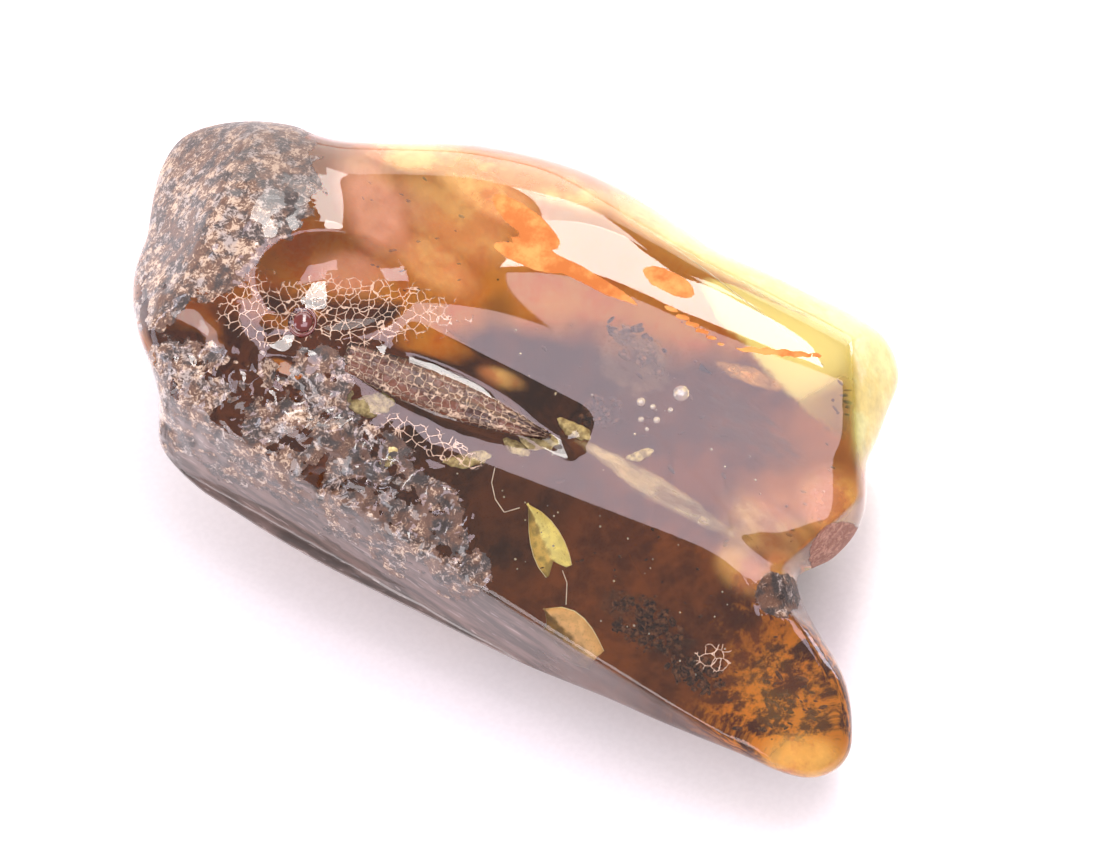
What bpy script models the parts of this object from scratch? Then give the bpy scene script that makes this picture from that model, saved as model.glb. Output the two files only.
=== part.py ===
"""A polished baltic amber stone, about 64 mm long, with weathered crust on one end and along the near edge.

The stone is drawn along one line of sight, square onto its outline: u runs right, v runs up and w comes
towards the eye. s runs along the stone and t across it in the same view. Lengths in the drawing are in
millimetres. stand_up() then turns the drawing onto the ground, with X along the stone and Z up.
"""

import math

import bmesh
import bpy
import numpy as np
from mathutils import Matrix, Vector, noise

MM = 0.001

# The line of sight, in degrees, and the tilt of the stone's length in that view
SIGHT_AZIMUTH = 31.0
SIGHT_ELEVATION = 55.0
LENGTH_TILT = -29.0
# The ground point under the middle of the stone, in turned but unshifted millimetres
GROUND_CENTRE = (3.378, -2.028)

# The outline (u, v), clockwise from the crust's upper corner
OUTLINE = [
    (-25.5, 19.9), (-24.1, 22.1), (-21.8, 23.1), (-18.9, 23.4), (-16.1, 23.1), (-14.1, 22.4), (-12.1, 22.0),
    (-8.2, 21.9), (-3.9, 21.8), (-1.1, 21.4), (2.1, 20.7), (5.4, 19.6), (8.6, 18.0), (11.8, 15.9),
    (14.6, 14.1), (17.9, 12.6), (21.1, 11.1), (23.9, 9.7), (26.1, 8.2), (27.2, 6.4), (27.4, 4.6),
    (26.6, 2.5), (25.8, 0.4), (25.1, -1.1), (25.0, -2.7), (24.9, -4.4), (24.1, -6.3), (22.6, -7.9),
    (21.2, -8.6), (20.1, -9.3), (20.4, -10.9), (21.4, -12.9), (22.8, -15.2), (23.6, -17.2), (23.9, -19.6),
    (23.7, -21.6), (22.6, -22.9), (20.8, -23.4), (18.6, -22.9), (16.2, -21.8), (13.2, -20.6), (10.0, -19.3),
    (6.8, -17.9), (4.3, -16.9), (1.1, -15.6), (-2.5, -13.9), (-6.1, -12.1), (-9.6, -10.4), (-13.2, -8.6),
    (-16.8, -6.6), (-20.0, -4.6), (-22.5, -3.0), (-24.5, -1.1), (-25.4, 0.5), (-25.4, 2.5), (-25.5, 4.1),
    (-26.2, 6.2), (-27.0, 8.4), (-27.4, 10.9), (-27.1, 13.2), (-26.4, 15.1), (-26.1, 17.3),
]  # fmt: skip
OUTLINE_STEPS = 6
HEART = (2.2, 2.6)  # (s, t) that the outline is measured from

# The plane that the outline lies in: w = RIM_W - RIM_LEAN * v, which is 9 mm up at v = 0
RIM_W = 11.0
RIM_LEAN = 0.457
FRONT_SQUARENESS = 10.0
BACK_SQUARENESS = 1.7
UNDERSIDE_Z = -1.2  # where the underside would bulge to if it weren't ground flat at Z = 0
UNDERSIDE_SHIFT = (1.2, -8.8)  # (s, t) from HEART to the middle of the underside

# Ground faces of the front: (s, t, height over the rim's plane, rise along s, rise along t)
FACES = {
    "near_window": (10.0, -6.0, 8.15, -0.1, 0.34),
    "band": (8.0, 0.0, 10.2, -0.08, 0.2),
    "middle": (10.0, 3.5, 10.75, -0.08, 0.12),
    "far_shine": (4.0, 13.6, 12.4, -0.06, -0.04),
    "far_rim": (9.0, 18.0, 11.9, -0.05, -1.3),
    "near_side": (2.4, -10.5, 6.4, 0.0, 2.3),
    "crust_end": (-28.5, 2.0, 9.4, 1.3, 0.0),
    "hump_side": (-20.0, 16.0, 10.8, 0.2, -0.6),
    "top_left": (-11.0, 8.5, 13.0, 0.11, -0.12),
    "far_lobe_end": (19.9, 14.3, 10.6, -1.3, -0.73),
}
FACE_BLEND = 0.28
THINNEST_FRONT = 0.6

# Swellings and hollows: (s, t, half length, half width, turn in degrees, height, softness of the edge)
RELIEF = {
    "crust_hump": (-25.5, 5.5, 8.0, 7.5, 0, 1.5, 2.0),
    "polished_hollow": (-17.0, 4.0, 5.6, 3.6, 24, -1.5, 1.0),
    "bead_hollow": (-17.4, -0.2, 3.0, 1.7, 30, -0.7, 1.3),
    "spindle_back": (-6.2, 0.9, 8.6, 1.9, 5, 0.7, 1.5),
    "corner_shelf": (-24.5, -4.6, 3.6, 3.0, 0, -0.9, 2.0),
    "ring_pit": (-10.6, -8.6, 2.3, 1.6, 60, -1.1, 1.3),
    "crust_dip": (-15.6, -4.2, 3.0, 1.4, -20, -0.8, 1.3),
    "crust_knob": (-12.4, -6.0, 2.2, 1.6, 30, 0.7, 1.5),
    "crust_ledge": (-5.6, -6.3, 2.0, 1.2, 70, 0.6, 1.3),
}

# Slopes ground off the front: (s, t, heading, fall, half length, run before it climbs back, climb's length)
SLOPES = {
    "over_the_spindle": (-3.6, 4.7, -88, 0.26, 8.0, 2.7, 1.4),
    "middle_lobe_end": (22.0, 5.6, -20, 2.0, 4.6, 9.0, 1.0),
    "near_lobe_edge": (24.5, -1.7, 57, 0.7, 3.6, 9.0, 1.0),
    "notch": (21.6, 0.9, 0, 1.2, 1.8, 9.0, 1.0),
}
SLOPE_ENDS = 0.25  # the share of a slope's half length over which its ends fade out

# Crust on the front, as overlapping round patches: (s, t, radius, how lumpy)
CRUST_PATCHES = [
    (-26.0, 6.4, 7.0, 0.25), (-28.0, -3.2, 2.6, 0.5), (-22.2, -8.4, 4.3, 1.0), (-17.6, -7.6, 4.6, 1.0),
    (-13.4, -7.2, 4.4, 1.2), (-8.4, -7.6, 4.2, 1.2), (-3.6, -8.3, 3.7, 1.1), (0.8, -9.4, 2.2, 0.9),
    (22.6, 0.6, 1.3, 0.6),
]  # fmt: skip
CRUST_LUMP = 0.45
CRUST_LUMP_SIZE = 2.3
CRUST_BACK_EDGE = -17.0  # s where the crust of the underside ends

# The surface that parts the stone into two halves, which holds the things sealed in it
PARTING_HEIGHT = 6.85  # over the rim's plane, at s = t = 0
PARTING_RISE = (-0.05, 0.18)
PARTING_GAP = 0.3
POCKET_ROOM = 0.32

# Things sealed in: (s, t, half length, half width, half thickness, turn in degrees in the view)
LEAF_SCALES = {
    "leaf_scale_upper": (5.0, -4.7, 2.75, 1.35, 0.35, -64),
    "leaf_scale_lower": (10.1, -9.2, 2.6, 1.5, 0.35, -42),
}
DEBRIS = {
    "bark_crumb_middle": (4.3, 5.0, 1.5, 1.1, 0.8, 20),
    "bark_crumb_near": (14.4, -6.6, 3.0, 1.7, 0.9, -30),
    "bark_crumb_tip": (19.0, -7.8, 2.2, 1.2, 0.8, -20),
    "fibre_wisp_far": (4.6, 10.2, 3.2, 1.3, 0.6, -40),
}
CRUMB_ROUGHNESS = 0.22

# Cells of the ball that the stone is shaped from
LENGTH_CELLS = 42
WIDTH_CELLS = 24
DEPTH_CELLS = 12
LEAF_AROUND = 16
LEAF_RINGS = 8
CRUMB_DETAIL = 2

COLOURS = {
    "amber": ((0.62, 0.24, 0.035, 1.0), 0.06),
    "leaf_scale": ((0.62, 0.5, 0.16, 1.0), 0.55),
    "bark_crumb": ((0.075, 0.035, 0.02, 1.0), 0.85),
    "fibre": ((0.2, 0.13, 0.08, 1.0), 0.8),
}


def clear_scene():
    for obj in list(bpy.data.objects):
        bpy.data.objects.remove(obj)


def along_and_across(u, v):
    """(s, t) of a point (u, v) of the view."""
    c, s = math.cos(math.radians(LENGTH_TILT)), math.sin(math.radians(LENGTH_TILT))
    return u * c + v * s, -u * s + v * c


def right_and_up(s, t):
    """(u, v) of a point (s, t) of the view."""
    c, sn = math.cos(math.radians(LENGTH_TILT)), math.sin(math.radians(LENGTH_TILT))
    return s * c - t * sn, s * sn + t * c


def smooth_outline():
    """Angle and distance from HEART of points on a smooth curve through OUTLINE."""
    rough = np.array([along_and_across(u, v) for u, v in OUTLINE])
    a, b, c, d = (np.roll(rough, k, axis=0)[:, None] for k in (1, 0, -1, -2))
    x = (np.arange(OUTLINE_STEPS) / OUTLINE_STEPS)[None, :, None]
    curve = 0.5 * (2 * b + (c - a) * x + (2 * a - 5 * b + 4 * c - d) * x**2 + (3 * b - a - 3 * c + d) * x**3)
    away = curve.reshape(-1, 2) - np.array(HEART)
    angle = np.arctan2(away[:, 1], away[:, 0])
    order = np.argsort(angle)
    return angle[order], np.hypot(away[:, 0], away[:, 1])[order]


OUTLINE_ANGLE, OUTLINE_REACH = smooth_outline()


def faces_height(s, t):
    """Height of the ground faces over the rim's plane, with their edges rounded off."""
    total = 0
    for s0, t0, height, along, across in FACES.values():
        total = total + np.exp(-(height + along * (s - s0) + across * (t - t0)) / FACE_BLEND)
    return -FACE_BLEND * np.log(total)


def fade(x):
    """0 where x is under 0, 1 where it is over 1, and smooth between."""
    x = np.clip(x, 0, 1)
    return x * x * (3 - 2 * x)


def relief_height(s, t):
    """Swellings, hollows and ground slopes of the front."""
    total = np.zeros_like(s)
    for s0, t0, half_length, half_width, turn, height, softness in RELIEF.values():
        c, sn = math.cos(math.radians(turn)), math.sin(math.radians(turn))
        ds, dt = s - s0, t - t0
        far = np.hypot((ds * c + dt * sn) / half_length, (dt * c - ds * sn) / half_width)
        total += height * np.clip(1 - far**2, 0, 1) ** softness
    for s0, t0, heading, fall, half_length, run, climb in SLOPES.values():
        c, sn = math.cos(math.radians(heading)), math.sin(math.radians(heading))
        ahead = (s - s0) * c + (t - t0) * sn
        aside = np.abs((t - t0) * c - (s - s0) * sn) / half_length
        drop = np.clip(ahead, 0, run) * (1 - fade((ahead - run) / climb))
        total -= fall * drop * fade((1 - aside) / SLOPE_ENDS)
    return total


def lumpiness(s, t, front):
    """How lumpy the crust is, and 0 where the amber is bare."""
    lumpy = np.zeros_like(s)
    for s0, t0, radius, lump in CRUST_PATCHES:
        lumpy = np.maximum(lumpy, np.clip(1.25 - np.hypot(s - s0, t - t0) / radius, 0, 0.5) * 2 * lump)
    back = np.clip((CRUST_BACK_EDGE - s) / 4 + 0.5, 0, 1)
    return np.where(front, lumpy, back)


def lumps(s, t, w):
    """Knobs with creases between them and smaller uneven lumps on them, about -1 to 1."""
    places = np.stack([s, t, w], axis=1) / CRUST_LUMP_SIZE
    knobs = np.array([1 - 2 * noise.voronoi(Vector(p))[0][0] for p in places])
    rough = np.array([noise.fractal(Vector(p) * 2, 0.6, 2.0, 3) for p in places])
    return 0.6 * knobs + 0.7 * rough


def stone_surface(ball):
    """(u, v, w) of the stone's surface for points of a unit ball: x along the stone, y across, z to the eye."""
    x, y, z = ball.T
    front = z > 0
    squareness = np.where(front, FRONT_SQUARENESS, BACK_SQUARENESS)
    spread, rise = np.hypot(x, y), np.abs(z)
    blown = (spread**squareness + rise**squareness) ** (-1 / squareness)
    spread, rise = spread * blown, rise * blown
    rim_length, rim_width = np.ptp(OUTLINE_REACH) + OUTLINE_REACH.min(), OUTLINE_REACH.min() * 1.4
    angle = np.arctan2(y * rim_width, x * rim_length)
    reach = spread * np.interp(angle, OUTLINE_ANGLE, OUTLINE_REACH, period=2 * math.pi)
    inward = np.where(front, 0, 1 - spread)
    s = HEART[0] + UNDERSIDE_SHIFT[0] * inward + reach * np.cos(angle)
    t = HEART[1] + UNDERSIDE_SHIFT[1] * inward + reach * np.sin(angle)
    u, v = right_and_up(s, t)
    rim = RIM_W - RIM_LEAN * v
    face = np.maximum(faces_height(s, t) + relief_height(s, t), THINNEST_FRONT)
    elevation = math.radians(SIGHT_ELEVATION)
    floor_w = (UNDERSIDE_Z - v * math.cos(elevation)) / math.sin(elevation)
    w = rim + rise * np.where(front, face, floor_w - rim)
    w += CRUST_LUMP * rise * lumpiness(s, t, front) * lumps(s, t, w) * np.where(front, 1, -1)
    return np.stack([u, v, w], axis=1)


def sight_axes():
    """The view's own axes u, v and w, on the ground's axes."""
    a, e = math.radians(SIGHT_AZIMUTH), math.radians(SIGHT_ELEVATION)
    u = Vector((math.cos(a), math.sin(a), 0))
    w = Vector((math.sin(a) * math.cos(e), -math.cos(a) * math.cos(e), math.sin(e)))
    return u, w.cross(u), w


def stand_up():
    """The matrix that takes the drawing, in millimetres, to the part, in metres."""
    turn = Matrix(sight_axes()).transposed().to_4x4()
    return Matrix.Scale(MM, 4) @ Matrix.Translation((-GROUND_CENTRE[0], -GROUND_CENTRE[1], 0)) @ turn


def parting_point(s, t):
    """A point (u, v, w) of the parting surface."""
    u, v = right_and_up(s, t)
    height = PARTING_HEIGHT + PARTING_RISE[0] * s + PARTING_RISE[1] * t
    return Vector((u, v, RIM_W - RIM_LEAN * v + height))


def parting_normal():
    origin = parting_point(0, 0)
    return (parting_point(1, 0) - origin).cross(parting_point(0, 1) - origin).normalized()


def material(name):
    mat = bpy.data.materials.get(name) or bpy.data.materials.new(name)
    colour, roughness = COLOURS[name]
    mat.use_nodes = True
    shader = mat.node_tree.nodes["Principled BSDF"]
    shader.inputs["Base Color"].default_value = colour
    shader.inputs["Roughness"].default_value = roughness
    shader.inputs["Metallic"].default_value = 0.0
    if name == "amber":
        shader.inputs["Transmission Weight"].default_value = 1.0
        shader.inputs["IOR"].default_value = 1.54
    return mat


def add_object(name, bm, mat):
    mesh = bpy.data.meshes.new(name)
    bm.to_mesh(mesh)
    bm.free()
    mesh.shade_smooth()
    obj = bpy.data.objects.new(name, mesh)
    bpy.context.scene.collection.objects.link(obj)
    obj.data.materials.append(material(mat))
    return obj


def gridded_ball():
    """A cube with its own number of cells along each axis, blown up to a unit ball."""
    bm = bmesh.new()
    bmesh.ops.create_cube(bm, size=2.0)
    for axis, cells in enumerate((LENGTH_CELLS, WIDTH_CELLS, DEPTH_CELLS)):
        normal = Vector([float(k == axis) for k in range(3)])
        for step in range(1, cells):
            level = normal * math.tan((step / cells - 0.5) * math.pi / 2)
            everything = bm.verts[:] + bm.edges[:] + bm.faces[:]
            bmesh.ops.bisect_plane(bm, geom=everything, plane_co=level, plane_no=normal)
    for vert in bm.verts:
        vert.co.normalize()
    return bm


def stone():
    """The whole stone, standing on its flat spot at Z = 0."""
    bm = gridded_ball()
    drawn = stone_surface(np.array([v.co for v in bm.verts]))
    upright = stand_up()
    for vert, point in zip(bm.verts, drawn):
        vert.co = upright @ Vector(point)
    everything = bm.verts[:] + bm.edges[:] + bm.faces[:]
    cut = bmesh.ops.bisect_plane(
        bm, geom=everything, plane_co=(0, 0, 0), plane_no=(0, 0, 1), clear_inner=True, dist=1e-7
    )
    rim = [item for item in cut["geom_cut"] if isinstance(item, bmesh.types.BMEdge)]
    bmesh.ops.contextual_create(bm, geom=rim)
    bmesh.ops.recalc_face_normals(bm, faces=bm.faces)
    return bm


def half(name, above):
    """The part of the stone over or under the parting surface, less half of the gap."""
    bm = stone()
    upright = stand_up()
    normal = (upright.to_3x3() @ parting_normal()).normalized()
    side = 1 if above else -1
    level = upright @ parting_point(0, 0) + normal * side * PARTING_GAP / 2 * MM
    everything = bm.verts[:] + bm.edges[:] + bm.faces[:]
    cut = bmesh.ops.bisect_plane(
        bm, geom=everything, plane_co=level, plane_no=normal * side, clear_inner=True, dist=1e-7
    )
    rim = [item for item in cut["geom_cut"] if isinstance(item, bmesh.types.BMEdge)]
    bmesh.ops.contextual_create(bm, geom=rim)
    bmesh.ops.recalc_face_normals(bm, faces=bm.faces)
    return add_object(name, bm, "amber")


def sealed_place(s, t, turn):
    """The matrix that lays a sealed thing on the parting surface, turned in the view."""
    heading = math.radians(turn)
    normal = parting_normal()
    along = Vector((math.cos(heading), math.sin(heading), 0))
    along = (along - normal * along.dot(normal)).normalized()
    axes = Matrix((along, normal.cross(along), normal)).transposed().to_4x4()
    return stand_up() @ Matrix.Translation(parting_point(s, t)) @ axes


def leaf_mesh(half_length, half_width, half_thickness):
    """A pointed, slightly keeled scale, in millimetres about its own middle."""
    bm = bmesh.new()
    bmesh.ops.create_uvsphere(bm, u_segments=LEAF_AROUND, v_segments=LEAF_RINGS, radius=1.0)
    for vert in bm.verts:
        z, y, x = vert.co
        narrow = 1 - 0.55 * max(x, 0) ** 2
        keel = 0.35 * half_thickness * (1 - min(abs(y) * 1.6, 1))
        vert.co = (x * half_length, -y * half_width * narrow, z * half_thickness + keel * (1 - x * x))
    return bm


def crumb_mesh(half_length, half_width, half_thickness, seed, roughness):
    """A crumb of bark or a wisp of fibres, in millimetres about its own middle."""
    bm = bmesh.new()
    bmesh.ops.create_icosphere(bm, subdivisions=CRUMB_DETAIL, radius=1.0)
    for vert in bm.verts:
        swell = 1 + roughness * noise.fractal(vert.co * 1.7 + Vector((seed, 0, 0)), 0.7, 2.0, 3)
        vert.co = Vector((vert.co.x * half_length, vert.co.y * half_width, vert.co.z * half_thickness)) * swell
    return bm


def pocket(obj_name, shape, place, hosts):
    """Cuts room for a sealed thing out of both halves."""
    shape.transform(place)
    cutter = add_object(obj_name, shape, "amber")
    cutter.hide_render = True
    cutter.display_type = "WIRE"
    for host in hosts:
        cut = host.modifiers.new(obj_name, "BOOLEAN")
        cut.operation = "DIFFERENCE"
        cut.object = cutter


def seal_in(name, mesh_of, sizes, place, mat, hosts):
    """Adds a sealed thing and the pocket around it."""
    thing = mesh_of(*sizes)
    thing.transform(place)
    add_object(name, thing, mat)
    pocket(name + "_pocket", mesh_of(*[size + POCKET_ROOM for size in sizes]), place, hosts)


def main():
    clear_scene()
    hosts = [half("amber_upper", True), half("amber_lower", False)]
    for name, (s, t, *sizes, turn) in LEAF_SCALES.items():
        seal_in(name, leaf_mesh, sizes, sealed_place(s, t, turn), "leaf_scale", hosts)
    for seed, (name, (s, t, *sizes, turn)) in enumerate(DEBRIS.items()):

        def crumb(*axes, seed=seed):
            return crumb_mesh(*axes, seed, CRUMB_ROUGHNESS)

        finish = "fibre" if name.startswith("fibre") else "bark_crumb"
        seal_in(name, crumb, sizes, sealed_place(s, t, turn), finish, hosts)


main()
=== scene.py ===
"""The looks of a polished baltic amber stone: clear resin, weathered crust, and plant bits sealed in it.

The stone is drawn along the camera's line of sight, as the CAD is: u runs right, v runs up and w comes
towards the eye, with s along the stone and t across it in the same view. Drawn lengths are millimetres.
"""

import math
import random

import bpy
import numpy as np
from mathutils import Matrix, Vector, noise


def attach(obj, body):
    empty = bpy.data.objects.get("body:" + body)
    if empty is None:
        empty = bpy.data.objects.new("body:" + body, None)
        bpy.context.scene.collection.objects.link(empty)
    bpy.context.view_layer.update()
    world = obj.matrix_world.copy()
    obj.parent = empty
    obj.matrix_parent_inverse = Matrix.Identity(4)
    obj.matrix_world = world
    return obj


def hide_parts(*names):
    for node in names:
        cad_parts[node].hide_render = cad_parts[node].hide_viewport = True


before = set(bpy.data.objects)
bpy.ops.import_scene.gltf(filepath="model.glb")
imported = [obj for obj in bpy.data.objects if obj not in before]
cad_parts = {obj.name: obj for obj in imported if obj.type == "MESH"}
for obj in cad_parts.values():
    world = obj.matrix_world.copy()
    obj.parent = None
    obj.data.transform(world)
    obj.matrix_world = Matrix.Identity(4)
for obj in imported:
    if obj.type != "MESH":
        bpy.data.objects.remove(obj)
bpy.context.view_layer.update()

MM = 0.001

# The line of sight and the stone's place on the ground
SIGHT_AZIMUTH = 31.0
SIGHT_ELEVATION = 55.0
LENGTH_TILT = -29.0
GROUND_CENTRE = Vector((3.378, -2.028, 0))

# The outline (u, v), clockwise from the crust's upper corner
OUTLINE = [
    (-25.5, 19.9), (-24.1, 22.1), (-21.8, 23.1), (-18.9, 23.4), (-16.1, 23.1), (-14.1, 22.4), (-12.1, 22.0),
    (-8.2, 21.9), (-3.9, 21.8), (-1.1, 21.4), (2.1, 20.7), (5.4, 19.6), (8.6, 18.0), (11.8, 15.9),
    (14.6, 14.1), (17.9, 12.6), (21.1, 11.1), (23.9, 9.7), (26.1, 8.2), (27.2, 6.4), (27.4, 4.6),
    (26.6, 2.5), (25.8, 0.4), (25.1, -1.1), (25.0, -2.7), (24.9, -4.4), (24.1, -6.3), (22.6, -7.9),
    (21.2, -8.6), (20.1, -9.3), (20.4, -10.9), (21.4, -12.9), (22.8, -15.2), (23.6, -17.2), (23.9, -19.6),
    (23.7, -21.6), (22.6, -22.9), (20.8, -23.4), (18.6, -22.9), (16.2, -21.8), (13.2, -20.6), (10.0, -19.3),
    (6.8, -17.9), (4.3, -16.9), (1.1, -15.6), (-2.5, -13.9), (-6.1, -12.1), (-9.6, -10.4), (-13.2, -8.6),
    (-16.8, -6.6), (-20.0, -4.6), (-22.5, -3.0), (-24.5, -1.1), (-25.4, 0.5), (-25.4, 2.5), (-25.5, 4.1),
    (-26.2, 6.2), (-27.0, 8.4), (-27.4, 10.9), (-27.1, 13.2), (-26.4, 15.1), (-26.1, 17.3),
]
OUTLINE_STEPS = 6
HEART = (2.2, 2.6)

RIM_W = 11.0
RIM_LEAN = 0.457
FRONT_SQUARENESS = 10.0
BACK_SQUARENESS = 1.7
UNDERSIDE_Z = -1.2
UNDERSIDE_SHIFT = (1.2, -8.8)

# Ground faces of the front: (s, t, height over the rim's plane, rise along s, rise along t)
FACES = {
    "near_window": (10.0, -6.0, 8.15, -0.1, 0.34),
    "band": (8.0, 0.0, 10.2, -0.08, 0.2),
    "middle": (10.0, 3.5, 10.75, -0.08, 0.12),
    "far_shine": (4.0, 13.6, 12.4, -0.06, -0.04),
    "far_rim": (9.0, 18.0, 11.9, -0.05, -1.3),
    "near_side": (2.4, -10.5, 6.4, 0.0, 2.3),
    "crust_end": (-28.5, 2.0, 9.4, 1.3, 0.0),
    "hump_side": (-20.0, 16.0, 10.8, 0.2, -0.6),
    "top_left": (-11.0, 8.5, 13.0, 0.11, -0.12),
    "far_lobe_end": (19.9, 14.3, 10.6, -1.3, -0.73),
}
FACE_BLEND = 0.28
THINNEST_FRONT = 0.6

# Swellings and hollows: (s, t, half length, half width, turn in degrees, height, softness of the edge)
RELIEF = {
    "crust_hump": (-25.5, 5.5, 8.0, 7.5, 0, 1.5, 2.0),
    "polished_hollow": (-17.0, 4.0, 5.6, 3.6, 24, -1.5, 1.0),
    "bead_hollow": (-17.4, -0.2, 3.0, 1.7, 30, -0.7, 1.3),
    "spindle_back": (-6.2, 0.9, 8.6, 1.9, 5, 0.7, 1.5),
    "corner_shelf": (-24.5, -4.6, 3.6, 3.0, 0, -0.9, 2.0),
    "ring_pit": (-10.6, -8.6, 2.3, 1.6, 60, -1.1, 1.3),
    "crust_dip": (-15.6, -4.2, 3.0, 1.4, -20, -0.8, 1.3),
    "crust_knob": (-12.4, -6.0, 2.2, 1.6, 30, 0.7, 1.5),
    "crust_ledge": (-5.6, -6.3, 2.0, 1.2, 70, 0.6, 1.3),
}

# Slopes ground off the front: (s, t, heading, fall, half length, run before it climbs back, climb's length)
SLOPES = {
    "over_the_spindle": (-3.6, 4.7, -88, 0.26, 8.0, 2.7, 1.4),
    "middle_lobe_end": (22.0, 5.6, -20, 2.0, 4.6, 9.0, 1.0),
    "near_lobe_edge": (24.5, -1.7, 57, 0.7, 3.6, 9.0, 1.0),
    "notch": (21.6, 0.9, 0, 1.2, 1.8, 9.0, 1.0),
}
SLOPE_ENDS = 0.25  # the share of a slope's half length over which its ends fade out

# Crust on the front, as overlapping round patches: (s, t, radius, how lumpy)
CRUST_PATCHES = [
    (-27.1, 7.2, 6.1, 0.25), (-27.0, 2.3, 4.6, 0.25), (-28.0, -3.2, 2.6, 0.5), (-22.2, -8.4, 4.3, 1.0),
    (-17.6, -7.6, 4.6, 1.0), (-13.4, -7.2, 4.4, 1.2), (-8.4, -7.6, 4.2, 1.2), (-3.6, -8.3, 3.7, 1.1),
    (0.8, -9.4, 2.2, 0.9), (21.3, -0.1, 1.6, 0.5), (-14.5, -2.6, 2.4, 0.5),
]
CRUST_LUMP = 0.45
CRUST_LUMP_SIZE = 2.3
CRUST_BACK_EDGE = -22.0

# Crackle nets on the bare amber: (s, t, half length, half width, turn in degrees)
NETS = [
    (-14.6, 3.0, 7.4, 2.6, 26), (-19.5, -0.6, 4.2, 1.8, 24), (-24.0, 0.4, 4.0, 2.0, 20),
    (-5.6, -2.5, 4.6, 1.0, 4), (19.5, -6.2, 1.6, 1.1, 20),
]

# Weathered skin lines the underside up to a line that runs from one side of t to the other along the stone
LINING_EDGE = (15.0, -0.25)  # t of the line at s = 0, and its rise along s
LINING_FADE = 3.5
SKIRT = 0.3  # the share of the underside's depth over which the looks of the front's edge carry on

# Cloudy amber close under the front, whose sunlit colours are painted glow: (s, t, half length, half width,
# turn in degrees, how cloudy)
CLOUDS = [
    (-16.4, 15.0, 4.6, 1.6, 22, 0.65), (-8.0, 17.4, 7.0, 1.5, 12, 0.6), (-12.0, 12.0, 6.0, 2.6, 0, 0.25),
    (-17.2, 10.3, 4.6, 2.4, -37, 0.4), (-10.5, 14.8, 4.5, 1.8, 0, 0.5), (-3.3, 3.8, 1.8, 0.7, 9, 0.4),
    (-11.5, 8.6, 3.8, 1.8, -5, 0.3), (-16.2, 5.2, 3.0, 1.6, 24, 0.3), (18.3, 0.3, 2.4, 1.6, -10, 0.45),
    (20.6, 1.8, 1.6, 1.2, -30, 0.55), (28.8, -9.4, 3.4, 2.0, 20, 0.75), (25.5, -6.0, 4.5, 3.2, -10, 0.08),
    (21.6, 7.4, 2.6, 2.6, 0, 0.6), (19.2, 3.6, 4.6, 2.8, -5, 0.25),
]
# Dull orange islands and gaps painted into the far shine, matte patches whose orange stands in for the
# glowing amber under them: (s, t, half length, half width, turn in degrees)
ISLANDS = [
    (3.9, 15.6, 2.0, 0.75, 2), (-2.6, 13.0, 5.2, 0.5, 1), (6.8, 13.75, 2.9, 0.16, -6),
    (13.2, 15.0, 3.2, 0.22, 24), (-7.0, 14.4, 3.0, 0.9, -10), (-5.6, 12.3, 2.6, 0.7, 8),
]
# The granular pink wall of the middle lobe's end
WALL = (23.6, 4.6, 2.0, 2.3, 0)

LENGTH_CELLS = (20, 11)  # an edge is parted in the first number of cells, and each of those in the second
WIDTH_CELLS = (12, 10)
DEPTH_CELLS = (8, 5)

# The crackled spindle of crust: (s, t, half length, half width, turn in degrees)
SPINDLE = (-5.9, 0.8, 7.9, 1.5, 7.5)
SPINDLE_WIDTHS = (0.7, 0.85, 0.97, 1.0, 0.93, 0.75, 0.5, 0.05)  # from its left end to its right end
SPINDLE_CELLS = (170, 44)
SPINDLE_RIDGES = 3
SPINDLE_CELLS_PER_MM = 1.7
SPINDLE_ROWS = 5
SPINDLE_STAND = 0.24
SPINDLE_THICKNESS = 0.3

# Things sealed in the amber: (s, t, depth under the front, half length, half width, turn in degrees).
# A leaf scale's place, how deep the fork in its foot is, and the colours of its two sides
LEAF_SCALES = {
    "leaf_scale_upper": ((5.0, -4.7, 3.1, 2.65, 1.25, -64), 0.3, (1.0, 0.93, 0.42), (0.8, 0.58, 0.18)),
    "leaf_scale_lower": ((9.9, -9.6, 1.6, 2.6, 1.35, -42), 0.06, (0.85, 0.52, 0.24), (0.5, 0.26, 0.04)),
}
# A heap's place, and the number of its crumbs
CRUMB_HEAPS = {
    "bark_crumb_near": (14.4, -6.6, 2.4, 3.0, 1.7, -30, 110),
    "bark_crumb_tip": (19.0, -7.8, 2.0, 2.2, 1.2, -20, 60),
    "bark_crumb_middle": (4.3, 5.0, 2.0, 1.5, 1.1, 20, 60),
    "fibre_wisp_far": (4.6, 10.2, 2.2, 3.2, 1.3, -40, 60),
}
# Half widths of the two scales to the left and right of their midribs, from the tip to the foot
LEAF_WIDTHS = {
    "leaf_scale_upper": ((0.0, 0.5, 0.8, 0.95, 1.0, 0.95, 0.8), (0.0, 0.3, 0.62, 0.85, 0.98, 1.0, 0.85)),
    "leaf_scale_lower": ((0.0, 0.7, 1.0, 1.05, 0.95, 0.75, 0.5), (0.0, 0.45, 0.8, 1.0, 1.1, 1.0, 0.6)),
}
LEAF_CELLS = (70, 30)
LEAF_THICKNESS = 0.09
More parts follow.
